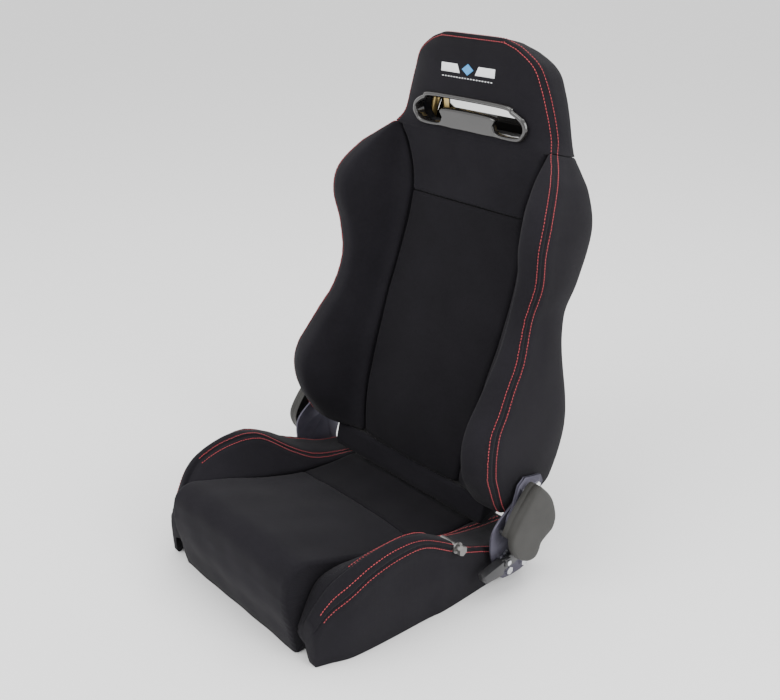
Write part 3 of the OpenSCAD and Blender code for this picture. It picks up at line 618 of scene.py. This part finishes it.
def head_cover():
    """Plain panel and head in one skin: crowned face, swelling sides, rear lips and the hollow between them.
    Below the neck the sides run straight back between the wings."""
    s = np.concatenate([478.4 + 104 * crowded(44, 0.7), 584 + 16 * np.linspace(0, 1, 22),
                        600 + (HEAD_TOP - 600) * crowded(76, 0.6)[1:]])
    w = np.clip((s - 589.5) / 4, 0, 1)
    k = 1 - 2 * crowded(110, 0.85)
    xs, ns, nr = smooth(SEAM_X, s), smooth(SEAM_N, s), smooth(REAR_N, s)
    half = smooth(INNER_X, s) - 0.3 + (xs - smooth(INNER_X, s) + 0.3) * w
    depth, back = ns - nr, nr + smooth(HOLLOW, s)
    x = k[:, None] * half
    n = head_front(x, s)
    edge = half - np.abs(x)
    place = on_back(x, n, s)
    n = n + slack(place, 0.5) * np.clip(edge / 15, 0, 1) + gathers(place, edge, 0.3)
    n = n - (rolled(edge, 9, 6) * (1 - w) + 1.6 * np.exp(-((edge / 2.4) ** 2)) * w) - rolled(s - 478.4, 8, 5)
    front = pair(x, n)
    lip = np.minimum(4, 0.4 * (back - nr))
    p = [pair(half, n[0]), pair(xs + 2.5, ns - 0.3 * depth), pair(xs + 3, ns - 0.6 * depth),
         pair(xs - 1, nr + 0.17 * depth), pair(xs - 12, nr + 0.7 * lip), pair(xs - 27.5, nr)]
    side, d_side = along(through(p), crowded(44))
    spot = on_back(side[..., 0], side[..., 1], s)
    puff = 1.5 * np.sin(np.pi * d_side / d_side[-1]) + sewn(d_side, 1.6) + gathers(spot, d_side, 0.3)
    side = side - outward(side) * -puff[..., None] * np.clip(d_side / 1.5, 0, 1)[..., None]
    t = np.linspace(0, 1, 45)[:, None]
    straight = pair(np.broadcast_to(half, (45, len(s))), n[0] + (back - n[0]) * t)
    side = straight + (side - straight) * w[:, None]
    edge_in, fold = pair(xs - 27.5, nr + lip), pair(xs - 11, nr + 0.5 * (back - nr))
    inner = np.concatenate([leg(p[-1], edge_in, 1), edge_in[None], leg(edge_in, fold, 2), fold[None],
                            pair(xs - 11, back)[None]])
    flat = np.broadcast_to(pair(half, back), inner.shape)
    inner = flat + (inner - flat) * w[:, None]
    right = np.concatenate([side[1:], inner])
    left = right * np.array([-1.0, 1.0])
    across = leg(left[-1], right[-1], 12)
    ring = np.concatenate([front, left, across, right[::-1]])
    rows = on_back(ring[..., 0], ring[..., 1], s).transpose(1, 0, 2)
    middle = on_back(0, 26, HEAD_TOP - 2)
    crown = domed(rows[-1], middle, on_back(0, 22, HEAD_TOP + 3.5) - on_back(0, 22, HEAD_TOP), 9)
    obj = turned_out(shell("head_and_neck_cover", np.concatenate([rows, crown])), 1e-6)
    cut(obj, slot_tool())
    return finished(obj, "backrest", cloth_main, "fabric_main", ["upper_back_pad", "head_pad"])


def loop_through(points, steps=8):
    """Closed smooth outline through points."""
    p = np.asarray(points, float)
    u = (np.arange(steps) / steps)[:, None, None]
    a, b, c, d = np.roll(p, 1, 0), p, np.roll(p, -1, 0), np.roll(p, -2, 0)
    q = 0.5 * (2 * b + (c - a) * u + (2 * a - 5 * b + 4 * c - d) * u**2 + (3 * b - a - 3 * c + d) * u**3)
    return q.transpose(1, 0, 2).reshape(-1, 2)


def both(half):
    """Outline of a right half and its mirror image, from the top middle round."""
    half = np.asarray(half, float)
    return np.concatenate([half, half[::-1] * np.array([-1.0, 1.0])])


def slot_tool():
    outline = both(BEZEL_HALF) * 0.975
    return prism("slot_tool", outline, lambda o, d: on_slot(o[:, 0], o[:, 1], -40 + 200 * d))


def rear_cover():
    """Back cloth: stretched between the wings, a little fuller between the frame's tubes."""
    s = HEAD_TOP * crowded(120, 0.5)
    k = 1 - 2 * crowded(60, 0.8)
    half, nr = smooth(SEAM_X, s) - 32.3, smooth(REAR_N, s)
    x = k[:, None] * half
    edge = half - np.abs(x)
    n = nr - 3.5 * (1 - k[:, None] ** 4) - 2 * np.cos(s / 62) * (1 - k[:, None] ** 2)
    place = on_back(x, n, s)
    n = n + slack(place, 0.8) + rolled(edge, 6, 3) + gathers(place, edge, 0.4)
    a = pair(x[::-1], (nr + 2.4)[None] + 0 * x)
    ring = np.concatenate([pair(x, n), a])
    rows = backrest_rows(ring[..., 0], ring[..., 1], s, HEAD_TOP)
    obj = shell("rear_cloth", rows)
    cut(obj, slot_tool())
    return finished(obj, "backrest", cloth_rear, "fabric_rear", ["back_rear_cover"])


def hinge_roll():
    """Roll of foam under the backrest: an arc about the hinge line, closed flat above and ahead."""
    x = 195.6 * (2 * crowded(60, 0.7) - 1)
    a = np.radians(np.linspace(-79, -179, 30))[:, None]
    r = 46.4 - rolled(195.6 - np.abs(x), 8, 6) + 0.4 * np.sin(x / 17.0)
    arc = pair(r * np.cos(a), r * np.sin(a))
    up, low = pair(8.6 + 0 * x, -1 + 0 * x), arc[0]
    ring = np.concatenate([arc, leg(arc[-1], up, 6), up[None], leg(up, low, 3)])
    rows = on_back(np.broadcast_to(x, ring.shape[:2]), ring[..., 0], ring[..., 1]).transpose(1, 0, 2)
    return finished(shell("hinge_roll_cover", rows), "backrest", cloth_main, "fabric_main",
                    ["back_lower_roll"])


# ---- Cushion covers ----


def cushion_panel(name, replaced, y0, y1, nose):
    """Centre cushion between y0 and y1: sections in side view, crowned across, with the edges turned in."""
    x = 159.6 * (2 * crowded(90, 0.85) - 1)
    c = 6 * (1 - (x / 160) ** 2)
    y = (y0 + (y1 - y0) * crowded(400, 0.9))[:, None]
    top = pair(y + 0 * x, smooth(PAD_TOP, y) + c)
    if nose:
        low = through([pair(-311 + 0 * x, 1 + 0 * x), pair(-316 - c / 3, 25 + 0 * x),
                       pair(-319 - c / 2, 50 + 0 * x), pair(-325 - c / 2, 80 + 0 * x), top[0]])
        top = np.concatenate([low[:-1], top])
    path, d = along(top, crowded(170, 0.5) if nose else crowded(110, 0.7))
    total = d[-1]
    place = np.stack([np.broadcast_to(x, path.shape[:2]), path[..., 0], path[..., 1]], -1)
    side = 160 - np.abs(x)
    fall = rolled(side, 10, 7) + rolled(total - d, 8, 4)
    if not nose:
        fall = fall + rolled(d, 8, 4)
    swell = slack(place, 0.8) + 2.0 * np.sin(np.pi * d / total) + gathers(place, side, 0.35)
    path = path + outward(path) * (swell - fall)[..., None]
    floor = 46.5
    if nose:
        back = [pair(y1 + 0 * x, floor + 0 * x), pair(-286 + 0 * x, floor + 0 * x),
                pair(-286 + 0 * x, 1 + 0 * x)]
    else:
        back = [pair(y1 + 0 * x, floor + 0 * x), pair(y0 + 0 * x, floor + 0 * x)]
    ring = [path]
    for a, b in zip([path[-1]] + back[:-1], back):
        ring += [leg(a, b, 6), b[None]]
    ring.append(leg(back[-1], path[0], 3))
    ring = np.concatenate(ring)
    rows = np.stack([np.broadcast_to(x, ring.shape[:2]), ring[..., 0], ring[..., 1]], -1).transpose(1, 0, 2)
    finish, slot = (cloth_main, "fabric_main") if nose else (cloth_centre, "fabric_centre")
    return finished(shell(name, rows), "seat_base", finish, slot, [replaced])


def bolster_section(y):
    """Bolster's section at stations y: up from the centre cushion, over the inner seam and the crest to the
    outer stitched seam, and down the side."""
    edge, in_x, in_z = smooth(BOLSTER_EDGE_Z, y), smooth(BOLSTER_IN_X, y), smooth(BOLSTER_IN_Z, y)
    cz, sz, bx = smooth(BOLSTER_CREST_Z, y), smooth(BOLSTER_SEAM_Z, y), smooth(BASE_HALF_W, y)
    sx = bx + np.minimum(4, 0.04 * sz)
    inner = 160.3
    p = [pair(inner + 0 * y, edge), pair(0.6 * inner + 0.4 * in_x, 0.55 * edge + 0.45 * in_z),
         pair(in_x, in_z), pair(0.5 * in_x + 0.5 * (sx - 14), 0.25 * in_z + 0.75 * cz), pair(sx - 14, cz),
         pair(sx - 5, 0.65 * cz + 0.35 * sz), pair(sx, sz), pair(bx + 2.5, 0.5 * sz), pair(bx, 0.8)]
    whole = through(p)
    one, d1 = along(whole[:21], crowded(34, 0.8))
    two, d2 = along(whole[20:61], crowded(44, 0.85))
    three, d3 = along(whole[60:], crowded(44, 0.7))
    outer = np.concatenate([one, two[1:], three[1:]])
    d_in = np.concatenate([d1 - d1[-1], d2[1:], d2[-1] + d3[1:]])
    d_out = np.concatenate([d1 - d1[-1] - d2[-1], d2[1:] - d2[-1], d3[1:]])
    place = np.stack([outer[..., 0], np.broadcast_to(y, outer.shape[:2]), outer[..., 1]], -1)
    swell = sewn(d_out) + 1.3 * sewn(d_in, 0.9) + gathers(place, np.minimum(np.abs(d_in), np.abs(d_out)), 0.4)
    swell = swell + slack(place, 0.6) + 1.6 * np.sin(np.pi * np.clip(d_out / d3[-1], 0, 1))
    fall = rolled(d_in + d1[-1], 9, 6)
    outer = outer + outward(outer) * (swell - fall)[..., None]
    outer[..., 1] = np.maximum(outer[..., 1], 0.6)
    back = [pair(bx - 12, 0.8), pair(bx - 12, 46.3), pair(inner + 0 * bx, 46.3)]
    ring = [outer]
    for a, b in zip([p[-1]] + back[:-1], back):
        ring += [leg(a, b, 3), b[None]]
    ring.append(leg(back[-1], outer[0], 3))
    return np.concatenate(ring)


def bolster(side):
    y = -306 + 454 * crowded(190, 0.6)
    ring = bolster_section(y)
    rows = np.stack([ring[..., 0], np.broadcast_to(y, ring.shape[:2]), ring[..., 1]], -1).transpose(1, 0, 2)
    front = domed(rows[0], np.array([186.0, -306, 38]), (0, -6, 0), 8)[::-1]
    back = domed(rows[-1], np.array([200.0, 148, 30]), (0, 1.2, 0), 4)
    rows = np.concatenate([front, rows, back])
    if side < 0:
        rows = mirrored(rows)
    name = "left" if side > 0 else "right"
    return finished(shell(f"bolster_cover_{name}", rows), "seat_base", cloth_main, "fabric_main",
                    [f"thigh_bolster_{name}"])


def skirt():
    """Hanging cloth across the back of the cushion, 2 mm thick with slow folds."""
    x = 235.5 * (2 * crowded(120, 0.3) - 1)
    z = np.linspace(0.8, 49.5, 14)
    fold = 0.8 * np.sin(x / 19) * np.linspace(1, 0.2, 14)[:, None]
    near, far = pair(148.6 + 0 * fold, z[:, None]), pair(150.2 + fold + 0.6, z[:, None])
    ring = np.concatenate([far, near[::-1]])
    rows = np.stack([np.broadcast_to(x, ring.shape[:2]), ring[..., 0], ring[..., 1]], -1).transpose(1, 0, 2)
    return finished(shell("rear_skirt_cloth", rows), "seat_base", cloth_rear, "fabric_rear",
                    ["rear_skirt"])


# ---- Stitching ----


def stitched(name, paths, surfaces, body, finish, pitch=5.2, length=3.9, radius=0.62):
    """Rows of single stitches laid on the given covers. Each stitch is a short six-sided thread that rises
    from the cloth in the middle and dives into it at both ends."""
    centres, ways = [], []
    for path in paths:
        step = np.linalg.norm(np.diff(path, axis=0), axis=-1)
        run = np.concatenate([[0], step.cumsum()])
        at = np.arange(pitch / 2, run[-1], pitch)
        centres.append(np.stack([np.interp(at, run, path[:, k]) for k in range(3)], -1))
        ahead = np.stack([np.interp(at + 1, run, path[:, k]) for k in range(3)], -1)
        behind = np.stack([np.interp(at - 1, run, path[:, k]) for k in range(3)], -1)
        ways.append(ahead - behind)
    centres, ways = np.concatenate(centres), np.concatenate(ways)
    trees = [BVHTree.FromObject(o, bpy.context.evaluated_depsgraph_get()) for o in surfaces]
    hits = [min((t.find_nearest(Vector(c * 0.001)) for t in trees), key=lambda h: h[3]) for c in centres]
    spot = np.array([h[0] for h in hits]) * 1000
    up = np.array([h[1] for h in hits])
    ways = ways - up * (ways * up).sum(1)[:, None]
    ways = ways / np.linalg.norm(ways, axis=1)[:, None]
    across = np.cross(up, ways)
    t = np.array([-1.0, -0.8, -0.3, 0.3, 0.8, 1.0])[:, None]
    thick = radius * np.array([0.25, 0.8, 1.0, 1.0, 0.8, 0.25])[:, None]
    lift = np.array([-0.45, 0.0, 0.35, 0.35, 0.0, -0.45])[:, None]
    a = np.radians(60 * np.arange(6))[None]
    u, v, w = t * length / 2 + 0 * a, thick * np.cos(a), lift + thick * np.sin(a)
    grid = (spot[:, None, None] + ways[:, None, None] * u[..., None] + across[:, None, None] * v[..., None]
            + up[:, None, None] * w[..., None])
    base = (np.arange(len(spot)) * 36)[:, None, None]
    r, c = np.meshgrid(np.arange(5), np.arange(6), indexing="ij")
    d = (c + 1) % 6
    quads = base[..., None] + np.stack([r * 6 + c, r * 6 + d, (r + 1) * 6 + d, (r + 1) * 6 + c], -1)
    caps = np.stack([np.arange(6), 30 + np.arange(6)])[None] + base
    obj = turned_out(from_arrays(name, grid.reshape(-1, 3), [quads.reshape(-1, 4), caps.reshape(-1, 6)]))
    return finished(obj, body, finish, "fabric_main")


def back_seam():
    """The backrest's stitched seam, up the left edge, over the head and down the right: x, n, s."""
    s = np.concatenate([np.linspace(3, 740, 400), 752 - 12 * (1 - np.linspace(0, 1, 30)[1:]) ** 1.3])
    x, n = smooth(SEAM_X, s), smooth(SEAM_N, s)
    top_x = np.linspace(70, -70, 60)[1:-1]
    top = np.stack([top_x, 50 + 5 * (1 - np.abs(top_x / 70) ** 5), np.full(58, 752.0)], -1)
    up = np.stack([x, n, s], -1)
    return np.concatenate([up, top, up[::-1] * np.array([-1.0, 1, 1])])


def seam_rows(gap=5.6):
    """Two rows of stitches, one on each side of the backrest's seam."""
    seam = back_seam()
    way = np.gradient(seam, axis=0)
    flat = np.hypot(way[:, 0], way[:, 2])
    inward = np.stack([-way[:, 2], 0 * flat, way[:, 0]], -1) / flat[:, None]
    front = seam + inward * gap
    x, s = front[:, 0], front[:, 2]
    wing_n = smooth(SEAM_N, s) + (smooth(CREST_N, s) - smooth(SEAM_N, s)) * gap / 20
    face = np.where(s > 592, head_front(x, np.minimum(s, 752)), wing_n)
    front = np.stack([x, face, s], -1)
    rear = seam + np.array([0, -gap, 0]) - inward * 2.0
    return [on_back(*front.T), on_back(*rear.T)]


def bolster_rows(side, gap=5.0):
    """Rows beside the bolster's two seams: along the inner edge and along the outer edge, down the front."""
    y = np.linspace(140, -296, 300)
    bx, sz = smooth(BASE_HALF_W, y), smooth(BOLSTER_SEAM_Z, y)
    sx = bx + np.minimum(4, 0.04 * sz)
    cz = smooth(BOLSTER_CREST_Z, y)
    paths = [np.stack([sx - gap, y, sz + 0.5 * (cz - sz)], -1), np.stack([sx + 0.5, y, sz - gap], -1)]
    y = np.linspace(140, -236, 260)
    in_x, in_z = smooth(BOLSTER_IN_X, y), smooth(BOLSTER_IN_Z, y)
    paths += [np.stack([in_x + e, y, in_z + 0.6 * e], -1) for e in (-gap, gap)]
    return paths if side > 0 else [mirrored(p) for p in paths]


# ---- Slot bezel, covers, lever and motif ----


def bezel():
    """Gloss ring round the slot with its bridge: the band between the outer outline and the opening,
    rounded over both edges, with a wall that goes back into the head."""
    steps = 10
    outer_keys = np.array([[78, 29], [104, 21], [123, 10], [130, -4], [127, -17], [113, -29], [76, -29.5],
                           [50, -29.5], [28, -29.5]], float)
    inner_keys = np.array(OPENING_HALF, float)
    outer = both(outer_keys)
    inner = both(inner_keys)
    a, b = loop_through(outer, steps), loop_through(inner, steps)
    width = np.linalg.norm(a - b, axis=1)
    edge = 4.0
    share = np.concatenate([np.linspace(0, 1, 7)[:-1], np.linspace(1, 2, 7)[:-1], np.linspace(2, 3, 8)])
    part = np.where(share < 1, share * edge / width[:, None],
                    np.where(share < 2, edge / width[:, None] + (share - 1) * (1 - 2 * edge / width[:, None]),
                             1 - (3 - share) * edge / width[:, None]))
    part = np.clip(part, 0, 1)
    xy = a[:, None] + (b - a)[:, None] * part[..., None]
    near = np.minimum(part, 1 - part) * width[:, None]
    up = 5.0 * np.sqrt(np.clip(1 - (1 - np.clip(near / edge, 0, 1)) ** 2, 0, 1))
    face = on_slot(xy[..., 0], xy[..., 1], -3.2 - up)
    inside = np.stack([on_slot(b[:, 0], b[:, 1], np.full(len(b), d)) for d in (-1.0, 1.0)], 1)
    wall_out = np.stack([on_slot(a[:, 0] * k, a[:, 1] * k, np.full(len(a), d))
                         for k, d in ((0.955, 1.0), (0.955, 15.0), (0.97, 15.0), (0.97, 0.0))], 1)
    grid = np.concatenate([face, inside, wall_out], 1)
    count, around = grid.shape[:2]
    r, c = np.meshgrid(np.arange(count), np.arange(around), indexing="ij")
    r2, c2 = (r + 1) % count, (c + 1) % around
    quads = np.stack([r * around + c, r * around + c2, r2 * around + c2, r2 * around + c], -1).reshape(-1, 4)
    obj = turned_out(from_arrays("slot_bezel", grid.reshape(-1, 3), [quads]))
    obj.data.set_sharp_from_angle(angle=math.radians(50))
    return finished(obj, "backrest", bezel_black, "bezel_plastic", ["harness_bezel_front"])


def recliner_cover(side):
    """Kidney-shaped shell: the outline carried outwards and rounded over on to a slightly domed face."""
    outline = loop_through(COVER_OUTLINE, 10)
    middle = np.array([82.0, 122.0])
    inside = [(0.04, 296.6), (0.5, 296.4), (0.88, 295.8), (0.935, 293), (0.955, 288), (0.96, 276.2)]
    rim = [(1.0, 276.2), (1.0, 279), (1.0, 284.5), (0.994, 285.2), (0.994, 286.2), (1.0, 287), (1.0, 291),
           (0.997, 293.5), (0.988, 296), (0.972, 298.2), (0.95, 299.5)]
    face = [(0.92, 300.1), (0.85, 300.4), (0.7, 300.8), (0.5, 301.1), (0.25, 301.3), (0.04, 301.35)]
    rows = []
    for k, x in inside + rim + face:
        yz = middle + (outline - middle) * k
        rows.append(np.stack([np.full(len(yz), x), yz[:, 0], yz[:, 1]], -1))
    obj = shell("kidney_cover_left" if side > 0 else "kidney_cover_right", np.stack(rows))
    if side > 0:
        gap = np.array([[10, 130], [60, 105], [108, 60], [80, 20], [10, 60]], float)
        cut(obj, prism("lever_gap_tool", gap,
                       lambda o, d: np.stack([np.full(len(o), 270 + 20 * d), o[:, 0], o[:, 1]], -1)))
    else:
        obj.data.transform(Matrix.Scale(-1, 4, (1, 0, 0)))
        turned_out(obj)
    obj.data.polygons.foreach_set("use_smooth", np.ones(len(obj.data.polygons), bool))
    obj.data.set_sharp_from_angle(angle=math.radians(40))
    node = "recliner_cover_left" if side > 0 else "recliner_cover_right"
    return finished(obj, "seat_base", cover_grey, "cover_plastic", [node])


def patch(name, corners, finish, proud=0.9):
    """Embroidered patch on the head's face: a four-sided area in (x, s), raised in the middle."""
    u, v = np.meshgrid(crowded(24, 0.6), crowded(12, 0.6), indexing="ij")
    a, b, c, d = (np.array(p, float) for p in corners)
    xy = ((1 - u) * (1 - v))[..., None] * a + (u * (1 - v))[..., None] * b
    xy = xy + (u * v)[..., None] * c + ((1 - u) * v)[..., None] * d
    rise = proud * np.minimum(1, 6 * np.minimum(np.minimum(u, 1 - u) * 2, np.minimum(v, 1 - v)) + 0.15)
    top = on_back(xy[..., 0], head_front(xy[..., 0], xy[..., 1]) + 0.3 + rise, xy[..., 1])
    low = on_back(xy[..., 0], head_front(xy[..., 0], xy[..., 1]) - 1.5, xy[..., 1])
    ring = np.concatenate([top, low[:, ::-1]], 1)
    return finished(shell(name, ring), "backrest", finish, "fabric_main")


def motif():
    """Plain stitched motif above the slot: two bars and a diamond over a row of short dashes."""
    s = 697
    patch("motif_bar_right", [(-60, s - 7), (-17, s - 7), (-24, s + 7), (-60, s + 7)], thread_white)
    patch("motif_bar_left", [(17, s - 7), (60, s - 7), (60, s + 7), (24, s + 7)], thread_white)
    patch("motif_diamond", [(0, s - 9), (13, s), (0, s + 9), (-13, s)], thread_blue)
    x = np.linspace(-58, 58, 60)
    below = np.full(60, s - 14.0)
    return on_back(x, head_front(x, below), below)


wings = [wing(1), wing(-1)]
centre_panel()
head = head_cover()
rear_cover()
hinge_roll()
cushion_panel("cushion_front_cover", "cushion_front_pad", -327, -44.4, True)
cushion_panel("cushion_rear_cover", "cushion_rear_pad", -43.6, 148, False)
bolsters = [bolster(1), bolster(-1)]
skirt()
stitched("backrest_stitching", seam_rows(), wings + [head], "backrest", thread_red)
stitched("cushion_stitching", bolster_rows(1) + bolster_rows(-1), bolsters, "seat_base", thread_red)
stitched("motif_dashes", [motif()], [head], "backrest", thread_white, 6.4, 3.6, 1.0)
bezel()
recliner_cover(1)
recliner_cover(-1)
softened("recline_lever", "release", lever_black, "lever_plastic", 2.2)
for which in ("left", "right"):
    softened(f"recliner_plate_{which}", "seat_base", violet_steel, "recliner_steel", 0.8, 2)
    softened(f"recliner_arm_{which}", "backrest", violet_steel, "recliner_steel", 0.6, 2)


# ---- Stage ----

mesh = bpy.data.meshes.new("floor")
mesh.from_pydata([(-30, -30, 0), (30, -30, 0), (30, 30, 0), (-30, 30, 0)], [], [(0, 1, 2, 3)])
floor = bpy.data.objects.new("floor", mesh)
bpy.context.scene.collection.objects.link(floor)
pale = Finish("pale_floor")
mesh.materials.append(pale.surface(colour=(0.93, 0.93, 0.93), rough=0.9))

world = bpy.data.worlds.new("studio")
bpy.context.scene.world = world
world.use_nodes = True
world.node_tree.nodes["Background"].inputs[0].default_value = (1, 1, 1, 1)
world.node_tree.nodes["Background"].inputs[1].default_value = 1.35


def lamp(name, place, target, size, power):
    light = bpy.data.lights.new(name, "AREA")
    light.shape = "RECTANGLE"
    light.size, light.size_y = size
    light.energy = power
    obj = bpy.data.objects.new(name, light)
    obj.location = place
    obj.rotation_euler = (Vector(target) - Vector(place)).to_track_quat("-Z", "Y").to_euler()
    bpy.context.scene.collection.objects.link(obj)


lamp("key_light", (-0.6, -2.4, 2.6), (0, 0, 0.4), (2.2, 1.6), 60)
lamp("side_light", (2.8, 0.3, 1.6), (0, 0, 0.45), (1.2, 2.0), 45)
lamp("top_light", (0.2, 0.6, 3.0), (0, 0, 0.4), (2.5, 2.5), 40)

lens = bpy.data.cameras.new("camera")
lens.lens, lens.sensor_width = 44.5, 36
lens.clip_start, lens.clip_end = 0.05, 200
camera = bpy.data.objects.new("camera", lens)
camera.location = (1.117, -0.990, 1.057)
camera.rotation_euler = (math.radians(90 - 24.7), 0, math.radians(47.5))
bpy.context.scene.collection.objects.link(camera)
bpy.context.scene.camera = camera
